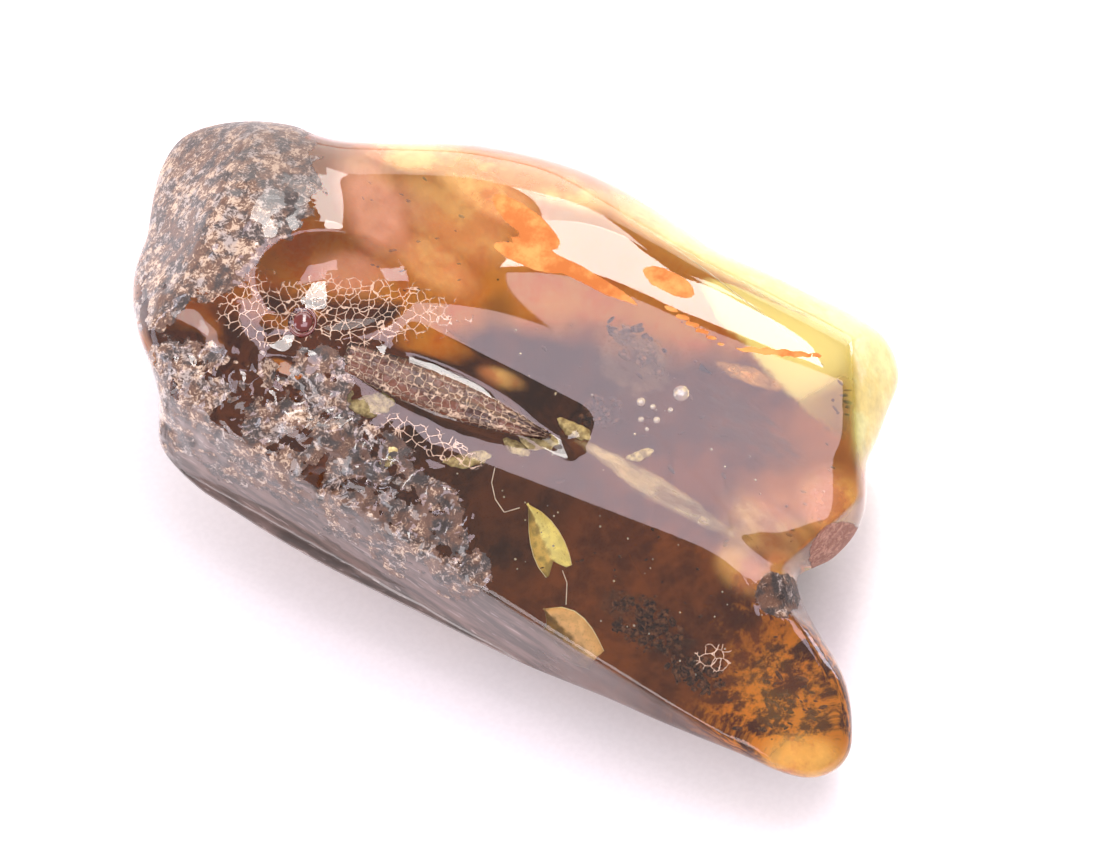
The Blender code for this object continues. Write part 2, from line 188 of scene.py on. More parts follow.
# Sheets of dust: their place, colour, how fine and how drawn out their grain is, and how full they are
WISPS = {
    "ochre_clouds": ((18.4, 2.6, 0.9, 6.0, 3.0, -6), (0.85, 0.6, 0.25), 0.35, 1.6, 0.16),
    "ochre_streak": ((12.2, 12.4, 0.7, 3.6, 0.9, 9), (1.0, 0.5, 0.12), 0.6, 2.0, 0.28),
    "cream_wisps": ((10.5, 2.2, 1.0, 8.5, 1.1, -2), (1.0, 0.8, 0.45), 0.5, 5.0, 0.3),
    "grey_wisps": ((4.6, 9.2, 1.6, 4.6, 3.2, -14), (0.3, 0.17, 0.1), 0.5, 1.6, 0.24),
    "dark_streaks": ((14.0, 8.8, 1.8, 8.0, 3.2, -8), (0.07, 0.04, 0.03), 0.5, 4.0, 0.14),
    "brown_haze": ((14.6, -6.4, 2.4, 6.5, 2.6, -4), (0.07, 0.03, 0.016), 0.5, 1.8, 0.15),
}
WISP_LAYERS = 3
WISP_LAYER_GAP = 0.4
WISP_CELLS = (60, 30)
# Curled flakes of pale plant skin, by their places
PALE_FLAKES = [
    (3.2, 3.1, 0.8, 1.5, 0.5, -30), (8.1, 3.8, 0.7, 1.0, 0.35, 20), (1.2, 1.2, 1.0, 1.6, 0.8, -10),
    (-2.4, -2.4, 0.9, 1.7, 0.5, 10), (-10.2, -2.3, 0.8, 1.6, 0.8, 10), (-7.4, -4.9, 0.25, 0.8, 0.6, 60),
    (-12.6, -3.2, 0.6, 1.3, 0.7, 30), (0.2, 0.0, 1.2, 1.1, 0.5, -30),
]
FLAKE_CELLS = (16, 10)
FLAKE_THICKNESS = 0.08
# Where the dark slivers gather: (s, t, half length, half width, how many)
FLECK_CLUSTERS = [
    (26.0, -7.2, 5.0, 3.4, 90), (18.5, 14.6, 1.4, 2.6, 22), (20.5, 6.0, 3.6, 4.0, 26),
    (12.0, -4.0, 9.0, 4.0, 26), (6.0, 8.0, 12.0, 5.0, 30), (-12.0, 10.0, 6.0, 5.0, 24),
]
FARTHEST_FLECK = 0.9  # as a share of the way to the outline
# Gas bubbles: (s, t, radius), and the number of bright specks around them
BUBBLES = [
    (8.5, 9.0, 0.6), (6.3, 7.1, 0.33), (7.2, 7.2, 0.2), (7.9, 6.5, 0.26), (6.9, 6.0, 0.22), (8.4, 7.6, 0.2),
    (7.6, 5.6, 0.16),
]
BUBBLE_DEPTH = 0.6
SPECKS = 70
# Routes (s, t) of the hair cracks, and their radius
HAIR_CRACKS = [
    [(-0.5, -2.0), (-0.2, -3.0), (0.6, -3.9), (1.6, -4.4), (2.4, -3.6)],
    [(7.2, -6.0), (7.9, -6.6), (8.3, -7.4), (8.6, -8.0)],
    [(1.6, 17.9), (5.0, 17.6), (9.0, 17.0), (13.0, 16.4), (16.4, 15.6)],
]
HAIR_RADIUS = 0.035
# The red bead's place (s, t), and the radius of the ring around it
RED_BEAD = (-17.5, 0.45)
RED_BEAD_RADIUS = 0.92


def turned(s, t, s0, t0, turn):
    """(s, t) measured from a point, along and across a heading."""
    c, sn = math.cos(math.radians(turn)), math.sin(math.radians(turn))
    return (s - s0) * c + (t - t0) * sn, (t - t0) * c - (s - s0) * sn


def set_out(along, across, s0, t0, turn):
    """(s, t) of a point that lies so far along and across a heading from another point."""
    c, sn = math.cos(math.radians(turn)), math.sin(math.radians(turn))
    return s0 + along * c - across * sn, t0 + along * sn + across * c


def along_and_across(u, v):
    """(s, t) of a point (u, v) of the view."""
    return turned(u, v, 0, 0, LENGTH_TILT)


def right_and_up(s, t):
    """(u, v) of a point (s, t) of the view."""
    return set_out(s, t, 0, 0, LENGTH_TILT)


def oval(s, t, place):
    """How far out a place is in an oval: 0 in its middle and 1 on its edge."""
    s0, t0, half_length, half_width, turn = place
    along, across = turned(s, t, s0, t0, turn)
    return np.hypot(along / half_length, across / half_width)


def sight_axes():
    """The view's own axes u, v and w, on the ground's axes."""
    a, e = math.radians(SIGHT_AZIMUTH), math.radians(SIGHT_ELEVATION)
    u = Vector((math.cos(a), math.sin(a), 0))
    w = Vector((math.sin(a) * math.cos(e), -math.cos(a) * math.cos(e), math.sin(e)))
    return u, w.cross(u), w


def stone_axes():
    """The drawing's axes s, t and w, on the ground's axes."""
    u, v, w = sight_axes()
    (su, sv), (tu, tv) = right_and_up(1, 0), right_and_up(0, 1)
    return u * su + v * sv, u * tu + v * tv, w


def facing(axes):
    """The matrix that turns x, y and z to three axes."""
    return Matrix(axes).transposed().to_4x4()


def stand_up():
    """The matrix that takes (u, v, w), in millimetres, to the part, in metres."""
    return Matrix.Scale(MM, 4) @ Matrix.Translation(-GROUND_CENTRE) @ facing(sight_axes())


def smooth_outline():
    """Angle and distance from HEART of points on a smooth curve through OUTLINE."""
    rough = np.array([along_and_across(u, v) for u, v in OUTLINE])
    a, b, c, d = (np.roll(rough, k, axis=0)[:, None] for k in (1, 0, -1, -2))
    x = (np.arange(OUTLINE_STEPS) / OUTLINE_STEPS)[None, :, None]
    square, cube = 2 * a - 5 * b + 4 * c - d, 3 * b - a - 3 * c + d
    curve = 0.5 * (2 * b + (c - a) * x + square * x**2 + cube * x**3)
    away = curve.reshape(-1, 2) - HEART
    angle = np.arctan2(away[:, 1], away[:, 0])
    order = np.argsort(angle)
    return angle[order], np.hypot(away[:, 0], away[:, 1])[order]


OUTLINE_ANGLE, OUTLINE_REACH = smooth_outline()


def outline_reach(angle):
    """Distance from HEART to the outline, at angles in the (s, t) plane."""
    return np.interp(angle, OUTLINE_ANGLE, OUTLINE_REACH, period=2 * math.pi)


def outline_share(s, t):
    """How far out a place is: 0 at HEART and 1 on the outline."""
    ds, dt = s - HEART[0], t - HEART[1]
    return np.hypot(ds, dt) / outline_reach(np.arctan2(dt, ds))


def fade(x):
    """0 where x is under 0, 1 where it is over 1, and smooth between."""
    x = np.clip(x, 0, 1)
    return x * x * (3 - 2 * x)


def face_shares(s, t):
    """How much each ground face counts at a place: by far the most for the lowest one."""
    shares = {}
    for name, (s0, t0, height, along, across) in FACES.items():
        shares[name] = np.exp(-(height + along * (s - s0) + across * (t - t0)) / FACE_BLEND)
    return shares


def faces_height(s, t):
    """Height of the ground faces over the rim's plane, with their edges rounded off."""
    return -FACE_BLEND * np.log(sum(face_shares(s, t).values()))


def relief_height(s, t):
    """Swellings, hollows and ground slopes of the front."""
    total = np.zeros_like(s)
    for *place, height, softness in RELIEF.values():
        total += height * np.clip(1 - oval(s, t, place) ** 2, 0, 1) ** softness
    for s0, t0, heading, fall, half_length, run, climb in SLOPES.values():
        ahead, aside = turned(s, t, s0, t0, heading)
        drop = np.clip(ahead, 0, run) * (1 - fade((ahead - run) / climb))
        total -= fall * drop * fade((1 - np.abs(aside) / half_length) / SLOPE_ENDS)
    return total


def front_height(s, t):
    """Height of the front over the rim's plane, were it not rounded off at the outline."""
    return np.maximum(faces_height(s, t) + relief_height(s, t), THINNEST_FRONT)


def front_w(s, t):
    """w of the polished front, without the crust's lumps."""
    spread = np.clip(outline_share(s, t), 0, 1)
    rise = (1 - spread**FRONT_SQUARENESS) ** (1 / FRONT_SQUARENESS)
    return RIM_W - RIM_LEAN * right_and_up(s, t)[1] + rise * front_height(s, t)


def noise_field(points, size, octaves):
    """Uneven lumps, about -1 to 1, at points in millimetres."""
    return np.array([noise.fractal(Vector(p), 0.6, 2.0, octaves) for p in points / size])


def knobs(points, size):
    """Rounded knobs with creases between them, about -1 to 1."""
    return np.array([1 - 2 * noise.voronoi(Vector(p))[0][0] for p in points / size])


def crust_cover(s, t, front):
    """How surely crust covers the stone, 0 to 1, and how lumpy it is there."""
    cover, lumpy = np.zeros_like(s), np.zeros_like(s)
    for s0, t0, radius, lump in CRUST_PATCHES:
        here = np.clip(1.25 - np.hypot(s - s0, t - t0) / radius, 0, 0.5) * 2
        lumpy = np.maximum(lumpy, here * lump)
        cover = np.maximum(cover, here)
    back = np.clip((CRUST_BACK_EDGE - s) / 4 + 0.5, 0, 1)
    return np.where(front, cover, back), np.where(front, lumpy, back)


def ovals_cover(s, t, front, places, middle, fall):
    """How surely some ovals cover the front, from their middle's strength and its fall outwards."""
    cover = np.zeros_like(s)
    for place in places:
        cover = np.maximum(cover, np.clip(middle - fall * oval(s, t, place), 0, 1))
    return np.where(front, cover, 0)


def lining_cover(s, t, front):
    """1 where weathered skin lines the underside, 0 where it is bare, and -1 on the polished front."""
    edge = LINING_EDGE[0] + LINING_EDGE[1] * s
    return np.where(front, -1, fade((edge - t) / LINING_FADE + 0.5))


def side_cover(s, t, below):
    """1 on the steep ground side, where the amber is clouded by a smooth grey-brown skin."""
    shares = face_shares(s, t)
    return shares["near_side"] / sum(shares.values()) * fade(1 - below / SKIRT)


def cloud_cover(s, t, below):
    """How cloudy the amber is close under the front, 0 to 1, and so where its painted glow shows."""
    shares = face_shares(s, t)
    # painted glow along the far rim and the far lobe's end, where light shines through the thin amber
    cover = 0.8 * (shares["far_rim"] + shares["far_lobe_end"]) / sum(shares.values()) * fade((s + 9) / 12)
    for *cloud, cloudy in CLOUDS:
        cover = np.maximum(cover, cloudy * fade(1.5 - 1.2 * oval(s, t, cloud)))
    return cover * fade(1 - below / SKIRT)


def stone_surface(ball):
    """(u, v, w) of the surface for points of a unit ball: x along the stone, y across it, z to the eye."""
    x, y, z = ball.T
    front = z > 0
    squareness = np.where(front, FRONT_SQUARENESS, BACK_SQUARENESS)
    spread, rise = np.hypot(x, y), np.abs(z)
    blown = (spread**squareness + rise**squareness) ** (-1 / squareness)
    spread, rise = spread * blown, rise * blown
    rim_length, rim_width = OUTLINE_REACH.max(), OUTLINE_REACH.min() * 1.4
    angle = np.arctan2(y * rim_width, x * rim_length)
    reach = spread * outline_reach(angle)
    inward = np.where(front, 0, 1 - spread)
    s = HEART[0] + UNDERSIDE_SHIFT[0] * inward + reach * np.cos(angle)
    t = HEART[1] + UNDERSIDE_SHIFT[1] * inward + reach * np.sin(angle)
    u, v = right_and_up(s, t)
    rim = RIM_W - RIM_LEAN * v
    elevation = math.radians(SIGHT_ELEVATION)
    floor_w = (UNDERSIDE_Z - v * math.cos(elevation)) / math.sin(elevation)
    w = rim + rise * np.where(front, front_height(s, t), floor_w - rim)
    crust, lumpy = crust_cover(s, t, front)
    below = np.where(front, 0, rise)
    places = np.stack([s, t, w], axis=1)
    lumps = 0.6 * knobs(places, CRUST_LUMP_SIZE) + 0.7 * noise_field(places, CRUST_LUMP_SIZE / 2, 4)
    lumps += 0.35 * knobs(places, CRUST_LUMP_SIZE / 2.6)
    w = w + CRUST_LUMP * rise * lumpy * lumps * np.where(front, 1, -1)
    kept = {
        "crust": crust,
        "net": ovals_cover(s, t, front, NETS, 1.4, 1),
        "lining": lining_cover(s, t, front),
        "side": side_cover(s, t, below),
        "cloud": cloud_cover(s, t, below),
        "wall": fade(ovals_cover(s, t, front, [WALL], 3, 2.6)),
        "island": ovals_cover(s, t, front, ISLANDS, 2, 1.5),
    }
    return np.stack([u, v, w], axis=1), kept


def on_the_part(drawn):
    """Points of the drawing, as rows of (u, v, w), moved to the part."""
    upright = np.array(stand_up())
    return drawn @ upright[:3, :3].T + upright[:3, 3]


def under_the_front(s, t, depth):
    """The point of the part at a depth under the polished front, straight along the line of sight."""
    s, t = np.atleast_1d(s * 1.0, t * 1.0)
    return on_the_part(np.stack([*right_and_up(s, t), front_w(s, t) - depth], axis=1))


def front_tilt(s, t, reach=0.5):
    """The front's directions along s and across it at a place, and its outward normal."""
    here, along, across = (
        Vector(under_the_front(a, b, 0)[0]) for a, b in ((s, t), (s + reach, t), (s, t + reach))
    )
    along, across = (along - here).normalized(), (across - here).normalized()
    normal = along.cross(across).normalized()
    return along, normal.cross(along), normal


def laid(s, t, depth, turn):
    """The matrix that lays a thing drawn in millimetres along the front at a depth, turned in the view."""
    place = Matrix.Translation(under_the_front(s, t, depth)[0])
    spin = Matrix.Rotation(math.radians(turn - LENGTH_TILT), 4, "Z")
    return place @ facing(front_tilt(s, t)) @ spin @ Matrix.Scale(MM, 4)


def choose(*objects):
    """Selects some objects alone, and makes the first of them the active one."""
    for obj in bpy.context.selected_objects:
        obj.select_set(False)
    for obj in objects:
        obj.select_set(True)
    bpy.context.view_layer.objects.active = objects[0]


def set_mode(mode):
    bpy.ops.object.mode_set(mode=mode)


def new_piece(name):
    """Names the primitive that was added last."""
    obj = bpy.context.object
    obj.name = obj.data.name = name
    return obj


def new_object(name, data):
    """An object in the scene that holds some data."""
    obj = bpy.data.objects.new(name, data)
    bpy.context.scene.collection.objects.link(obj)
    return obj


def own_copy(model):
    """A copy of a model in the scene, with a mesh of its own."""
    return new_object(model.name, model.data.copy())


def new_grid(name, columns, rows):
    """A flat grid from -1 to 1, and the x and y of its points."""
    bpy.ops.mesh.primitive_grid_add(x_subdivisions=columns, y_subdivisions=rows, size=2)
    grid = new_piece(name)
    x, y, _ = points_of(grid.data).T
    return grid, x, y


def new_ball(name, fineness):
    """A ball of radius 1, faceted in triangles."""
    bpy.ops.mesh.primitive_ico_sphere_add(subdivisions=fineness, radius=1)
    return new_piece(name)


def points_of(mesh):
    points = np.zeros(len(mesh.vertices) * 3)
    mesh.vertices.foreach_get("co", points)
    return points.reshape(-1, 3)


def move_points(mesh, points):
    mesh.vertices.foreach_set("co", points.ravel())
    mesh.update()


def keep_values(mesh, **kept):
    """Keeps numbers for each of a mesh's points, for its material to read."""
    for name, values in kept.items():
        values = values.astype(np.float32)
        mesh.attributes.new(name, "FLOAT", "POINT").data.foreach_set("value", values)


def thicken(obj, thickness):
    choose(obj)
    wall = obj.modifiers.new("wall", "SOLIDIFY")
    wall.thickness = thickness
    wall.offset = -1
    bpy.ops.object.modifier_apply(modifier="wall")
    bpy.ops.object.shade_smooth()


def mount(obj, finish, slot, *replaced):
    """Gives a finished piece its material and hides the solids that it stands for; its slot is not used."""
    obj.data.materials.clear()
    obj.data.materials.append(finish)
    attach(obj, "root")
    if replaced:
        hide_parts(*replaced)


def joined(name, copies, model):
    """Joins copies of a model into one piece, and takes the model away."""
    choose(*copies)
    bpy.ops.object.join()
    bpy.data.objects.remove(model)
    return new_piece(name)


def strewn(name, model, places):
    """Copies a model to each place and joins the copies into one piece."""
    copies = []
    for place in places:
        copy = own_copy(model)
        copy.data.transform(place)
        copies.append(copy)
    return joined(name, copies, model)


def part_along(obj, axis, cells):
    """Parts the cube's edges that run along one axis."""
    for count in cells:
        bpy.ops.mesh.select_all(action="DESELECT")
        set_mode("OBJECT")
        mesh = obj.data
        ends = np.zeros(len(mesh.edges) * 2, int)
        mesh.edges.foreach_get("vertices", ends)
        ends = points_of(mesh)[ends].reshape(-1, 2, 3)
        reach = np.abs(ends[:, 0] - ends[:, 1])
        chosen = (reach[:, axis] > 1e-4) & (np.delete(reach, axis, axis=1).max(axis=1) < 1e-4)
        mesh.edges.foreach_set("select", chosen)
        set_mode("EDIT")
        bpy.ops.mesh.subdivide(number_cuts=count - 1)


def amber_stone():
    """The whole clear stone, on its flat spot."""
    bpy.ops.mesh.primitive_cube_add(size=2)
    stone = new_piece("amber_stone")
    set_mode("EDIT")
    bpy.ops.mesh.select_mode(type="EDGE")
    for axis, cells in enumerate((LENGTH_CELLS, WIDTH_CELLS, DEPTH_CELLS)):
        part_along(stone, axis, cells)
    set_mode("OBJECT")
    ball = np.tan(points_of(stone.data) * math.pi / 4)
    ball /= np.linalg.norm(ball, axis=1)[:, None]
    drawn, kept = stone_surface(ball)
    move_points(stone.data, on_the_part(drawn))
    keep_values(stone.data, **kept)
    set_mode("EDIT")
    bpy.ops.mesh.select_all(action="SELECT")
    bpy.ops.mesh.bisect(
        plane_co=(0, 0, 0), plane_no=(0, 0, 1), use_fill=True, clear_inner=True, threshold=1e-7
    )
    bpy.ops.mesh.select_all(action="SELECT")
    bpy.ops.mesh.normals_make_consistent(inside=False)
    set_mode("OBJECT")
    bpy.ops.object.shade_smooth()
    mount(stone, amber_finish(), "amber", "amber_upper", "amber_lower")


def crackled_spindle():
    """The lens of crackled crust on the stone's back, with lengthwise ridges."""
    s0, t0, half_length, half_width, turn = SPINDLE
    spindle, x, y = new_grid("crackled_spindle", *SPINDLE_CELLS)
    widths = np.interp(x, np.linspace(-1, 1, len(SPINDLE_WIDTHS)), SPINDLE_WIDTHS)
    along, across = x * half_length, y * half_width * widths
    s, t = set_out(along, across, s0, t0, turn)
    ridges = 0.5 + 0.5 * np.cos(y * math.pi * SPINDLE_RIDGES)
    rough = noise_field(np.stack([along, across, 0 * x], axis=1), 0.45, 3)
    edge = np.clip((1 - np.abs(y)) * 6, 0, 1) * np.clip((1 - np.abs(x)) * 14, 0, 1)
    stand = SPINDLE_STAND * (ridges * 0.7 + 0.25 + 0.35 * rough) * edge - 0.12 * (1 - edge)
    move_points(spindle.data, under_the_front(s, t, -stand))
    keep_values(spindle.data, ridge=ridges, along=along, row=y * SPINDLE_ROWS / 2)
    thicken(spindle, SPINDLE_THICKNESS * MM)
    mount(spindle, spindle_finish(), "amber")


def leaf_scale(name):
    """A pointed bud scale folded along its midrib, whose foot is notched by a fork."""
    place, fork, pale, olive = LEAF_SCALES[name]
    s, t, depth, half_length, half_width, turn = place
    leaf, x, y = new_grid(name + "_blade", *LEAF_CELLS)
    left, right = (np.interp(x, np.linspace(-1, 1, len(w)), w) for w in LEAF_WIDTHS[name])
    notch = fork * fade((x - 0.5) / 0.5) * np.clip(1 - np.abs(y + 0.1) * 1.4, 0, 1)
    along = (x - notch) * half_length
    across = y * np.where(y > 0, left, right) * half_width
    fold = -0.45 * half_width * np.abs(y) ** 1.4 + 0.2 * (x + 0.2) ** 2
    ripple = 0.07 * noise_field(np.stack([along, across, 0 * x], axis=1), 0.8, 2)
    move_points(leaf.data, np.stack([along, across, fold + ripple], axis=1))
    keep_values(leaf.data, across=y)
    thicken(leaf, LEAF_THICKNESS)
    leaf.data.transform(laid(s, t, depth, turn))
    mount(leaf, leaf_finish(name + "_finish", pale, olive), "leaf_scale", name)


def crumb_heap(name, finish, slot):
    """A heap of torn crumbs that fills an oval."""
    s, t, depth, half_length, half_width, turn, count = CRUMB_HEAPS[name]
    chance = random.Random(name)
    crumb = new_ball("crumb", 2)
    set_mode("EDIT")
    bpy.ops.transform.vertex_random(offset=0.35, seed=count)
    set_mode("OBJECT")
    bed = laid(s, t, depth, turn)
    places = []
    for _ in range(count):
        far, way = chance.random() ** 0.6, chance.uniform(0, 2 * math.pi)
        x, y = far * math.cos(way) * half_length, far * math.sin(way) * half_width
        z = chance.uniform(-0.5, 0.5) * (1 - far)
        size = chance.uniform(0.12, 0.42) * (1.2 - far * 0.6)
        spin = Matrix.Rotation(chance.uniform(0, 6.3), 4, Vector((chance.random(), chance.random(), 0.6)))
        shape = Matrix.Diagonal((size * chance.uniform(0.7, 2.2), size, size * chance.uniform(0.3, 0.8), 1))
        places.append(bed @ Matrix.Translation((x, y, z)) @ spin @ shape)
    heap = strewn(name + "_heap", crumb, places)
    mount(heap, finish, slot, name)


def lobe_flecks():
    """Dark slivers strewn through the tip of the near lobe and along the right end."""
    chance = random.Random(7)
    fleck = new_ball("fleck", 1)
    places = []
    for s0, t0, half_length, half_width, count in FLECK_CLUSTERS:
        for _ in range(count):
            s = s0 + half_length * chance.gauss(0, 0.5)
            t = t0 + half_width * chance.gauss(0, 0.5)
            if outline_share(s, t) >= FARTHEST_FLECK:
                continue
            bed = laid(s, t, chance.uniform(0.8, 3.2), chance.uniform(-60, 30))
            size = chance.uniform(0.04, 0.13) * chance.uniform(0.7, 1.5)
            places.append(bed @ Matrix.Diagonal((size * chance.uniform(1, 3.2), size, size * 0.4, 1)))
    places.append(laid(3.6, 16.0, 0.3, 20) @ Matrix.Diagonal((0.3, 0.22, 0.1, 1)))
    finish = crumb_finish("fleck_finish", (0.05, 0.018, 0.008))
    mount(strewn("lobe_flecks", fleck, places), finish, "bark_crumb")


def bubbles():
    """Gas bubbles and bright specks, just under the front."""
    chance = random.Random(3)
    bubble = new_ball("bubble", 2)
    places = [laid(s, t, BUBBLE_DEPTH, 0) @ Matrix.Scale(radius, 4) for s, t, radius in BUBBLES]
    for _ in range(SPECKS):
        s, t = chance.uniform(-4, 24), chance.uniform(-8, 8)
        places.append(laid(s, t, chance.uniform(0.5, 2.5), 0) @ Matrix.Scale(chance.uniform(0.035, 0.1), 4))
    mount(strewn("bubbles", bubble, places), speck_finish(), "amber")


def pale_flakes():
    """Curled flakes of pale plant skin."""
    flake, x, y = new_grid("flake", *FLAKE_CELLS)
    squared = np.maximum(np.abs(x), np.abs(y)) / np.maximum(np.hypot(x, y), 1e-6)
    points = np.stack([x * squared, y * squared, 0.25 * x * x - 0.3 * y * y], axis=1)
    points[:, :2] *= 1 + 0.35 * noise_field(points * (1, 1, 0), 0.9, 3)[:, None]
    move_points(flake.data, points)
    thicken(flake, FLAKE_THICKNESS)
    places = []
    for s, t, depth, half_length, half_width, turn in PALE_FLAKES:
        places.append(laid(s, t, depth, turn) @ Matrix.Diagonal((half_length, half_width, 0.6, 1)))
    mount(strewn("pale_flakes", flake, places), flake_finish(), "leaf_scale")


def wisp_sheets(name):
    """Crumpled sheets of dust inside the amber, torn to wisps by their material."""
    place, colour, grain, stretch, amount = WISPS[name]
    s0, t0, depth, half_length, half_width, turn = place
    sheet, x, y = new_grid(name, *WISP_CELLS)
    along, across = x * half_length, y * half_width
    s, t = set_out(along, across, s0, t0, turn)
    keep_values(sheet.data, inside=np.clip(1 - np.hypot(x, y), 0, 1))
    bpy.ops.object.shade_smooth()
    layers = []
    for layer in range(WISP_LAYERS):
        copy = own_copy(sheet)
        crumple = 0.5 * noise_field(np.stack([along, across, 0 * x + layer * 9.0], axis=1), 2.5, 3)
        move_points(copy.data, under_the_front(s, t, depth + layer * WISP_LAYER_GAP + crumple))
        layers.append(copy)
    finish = wisp_finish(name + "_finish", colour, grain, stretch, amount)
    mount(joined(name, layers, sheet), finish, "fibre")


def hair_cracks():
    """Fine cracks and the conchoidal arcs near the far edge, as hair-thin pale tubes whose brightness is
    partly painted reflection off the crack faces.
    """
    tubes = []
    for index, route in enumerate(HAIR_CRACKS):
        curve = bpy.data.curves.new("hair", "CURVE")
        curve.dimensions = "3D"
        curve.bevel_depth = HAIR_RADIUS * MM
        curve.bevel_resolution = 1
        curve.use_fill_caps = True
        spline = curve.splines.new("NURBS")
        spline.use_endpoint_u = True
        spline.order_u = 4
        spline.points.add(len(route) - 1)
        for point, (s, t) in zip(spline.points, route):
            point.co = (*under_the_front(s, t, 0.25 + 0.1 * index)[0], 1)
        tubes.append(new_object("hair", curve))
    choose(*tubes)
    bpy.ops.object.convert(target="MESH")
    bpy.ops.object.join()
    # pale tone: partly painted reflection, the flash of light off the cracks
    finish = flat_finish("hair_crack_finish", (0.85, 0.75, 0.6), 0.3)
    mount(new_piece("hair_cracks"), finish, "leaf_scale")


def red_bead():
    """The round dark-red bead in its pit beside the net."""
    bpy.ops.mesh.primitive_uv_sphere_add(segments=40, ring_count=20, radius=1)
    bead = new_piece("red_bead")
    bpy.ops.object.shade_smooth()
    bpy.ops.mesh.primitive_torus_add(
        major_segments=48, minor_segments=10, major_radius=1, minor_radius=0.16
    )
    ring = new_piece("bead_ring")
    bpy.ops.object.shade_smooth()
    ring.data.transform(Matrix.Diagonal((1, 1.15, 1, 1)))
    bead.data.transform(Matrix.Diagonal((0.8, 0.92, 0.35, 1)))
    choose(bead, ring)
    bpy.ops.object.join()
    bead.data.transform(laid(*RED_BEAD, 0.02, 0) @ Matrix.Scale(RED_BEAD_RADIUS, 4))
    mount(bead, flat_finish("red_bead_finish", (0.11, 0.012, 0.008), 0.12), "amber")


def times(colour, share):
    """A colour made darker or brighter."""
    return tuple(c * share for c in colour)


class Value:
    """A shader socket that can stand in sums."""

    def __init__(self, finish, socket):
        self.finish = finish
        self.socket = socket

    def sum(self, operation, *values):
        return self.finish.node("ShaderNodeMath", {"operation": operation}, *values)

    def __add__(self, other):
        return self.sum("ADD", self, other)

    __radd__ = __add__

    def __sub__(self, other):
        return self.sum("SUBTRACT", self, other)

    def __rsub__(self, other):
        return self.sum("SUBTRACT", other, self)

    def __mul__(self, other):
        return self.sum("MULTIPLY", self, other)

    __rmul__ = __mul__

    def at_least(self, other):
        return self.sum("MAXIMUM", self, other)

    def ramp(self, low, high):
        """0 at low, 1 at high, and smooth between. Low may be the larger."""
        settings = {"interpolation_type": "SMOOTHSTEP"}
        ends = (low, high, 0.0, 1.0) if low < high else (high, low, 1.0, 0.0)
        return self.finish.node("ShaderNodeMapRange", settings, self, *ends)


class Finish:
    """A material, and the nodes that it is made of."""

    def __init__(self, name):
        self.material = bpy.data.materials.new(name)
        self.material.use_nodes = True
        self.tree = self.material.node_tree
        self.tree.nodes.clear()
        self.out = self.tree.nodes.new("ShaderNodeOutputMaterial")

    def node(self, kind, settings=None, *inputs, output=0, **named):
        """Adds a node, gives its settings and inputs, and returns one of its outputs."""
        node = self.tree.nodes.new(kind)
        for name, value in (settings or {}).items():
            setattr(node, name, value)
        for name, value in [*enumerate(inputs), *named.items()]:
            socket = node.inputs[name if isinstance(name, int) else name.replace("_", " ")]
            if isinstance(value, Value):
                self.tree.links.new(value.socket, socket)
            elif value is not None:
                socket.default_value = value
        return Value(self, node.outputs[output])

    def vector(self, operation, *inputs, **named):
        return self.node("ShaderNodeVectorMath", {"operation": operation}, *inputs, **named)

    def drawing(self, stretch=(1, 1, 1)):
        """The surface's place in the drawing: s, t and w in millimetres, drawn out by a stretch."""
        place = self.node("ShaderNodeTexCoord", None, output="Object")
        turn = Matrix(stone_axes())
        shift, angles = tuple(turn @ GROUND_CENTRE), tuple(turn.to_euler())
        place = self.node("ShaderNodeMapping", None, place, shift, angles, (1 / MM,) * 3)
        return self.vector("DIVIDE", place, stretch)

    def parts(self, place):
        """The three numbers of a place, each as a value."""
        return [self.node("ShaderNodeSeparateXYZ", None, place, output=k) for k in range(3)]

    def kept(self, name):
        """A number that the mesh keeps for its points."""
        return self.node("ShaderNodeAttribute", {"attribute_name": name}, output="Fac")

    def noise(self, place, scale, detail=3.0, roughness=0.5):
        return self.node("ShaderNodeTexNoise", None, place, Scale=scale, Detail=detail, Roughness=roughness)

    def mix(self, factor, low, high):
        """A colour between two colours, each given as three numbers or a value."""
        low, high = (c if isinstance(c, Value) else (*c, 1.0) for c in (low, high))
        return self.node("ShaderNodeMix", {"data_type": "RGBA"}, factor, *[None] * 5, low, high, output=2)

    def cracks(self, place, scale, width, unevenness=1.0):
        """1 along the borders of cells, and 0 in them."""
        settings = {"feature": "DISTANCE_TO_EDGE"}
        border = self.node("ShaderNodeTexVoronoi", settings, place, Scale=scale, Randomness=unevenness)
        return border.ramp(width, width * 0.35)

    def wavy(self, place, scale, strength):
        """A place pushed about by noise."""
        push = self.node("ShaderNodeTexNoise", None, place, Scale=scale, Detail=2.0, output=1)
        push = self.vector("SUBTRACT", push, (0.5,) * 3)
        return self.vector("ADD", place, self.vector("SCALE", push, Scale=strength))

    def bump(self, strength, distance, height):
        """Unevenness of a surface whose height, 0 to 1, stands for a distance in metres."""
        return self.node("ShaderNodeBump", None, Strength=strength, Distance=distance, Height=height)

    def surface(self, **inputs):
        return self.node("ShaderNodeBsdfPrincipled", None, **inputs)

    def blend(self, factor, low, high):
        """A surface between two surfaces."""
        return self.node("ShaderNodeMixShader", None, factor, low, high)

    def finish(self, shader, volume=None):
        self.tree.links.new(shader.socket, self.out.inputs["Surface"])
        if volume:
            self.tree.links.new(volume.socket, self.out.inputs["Volume"])
        return self.material


# What a millimetre of the resin takes out of red, green and blue light
ABSORBED = (0.0025, 0.012, 0.075)
STRONGEST_TINT = 0.985
IOR = 1.54
GRAIN_HEIGHT = 0.4 * MM


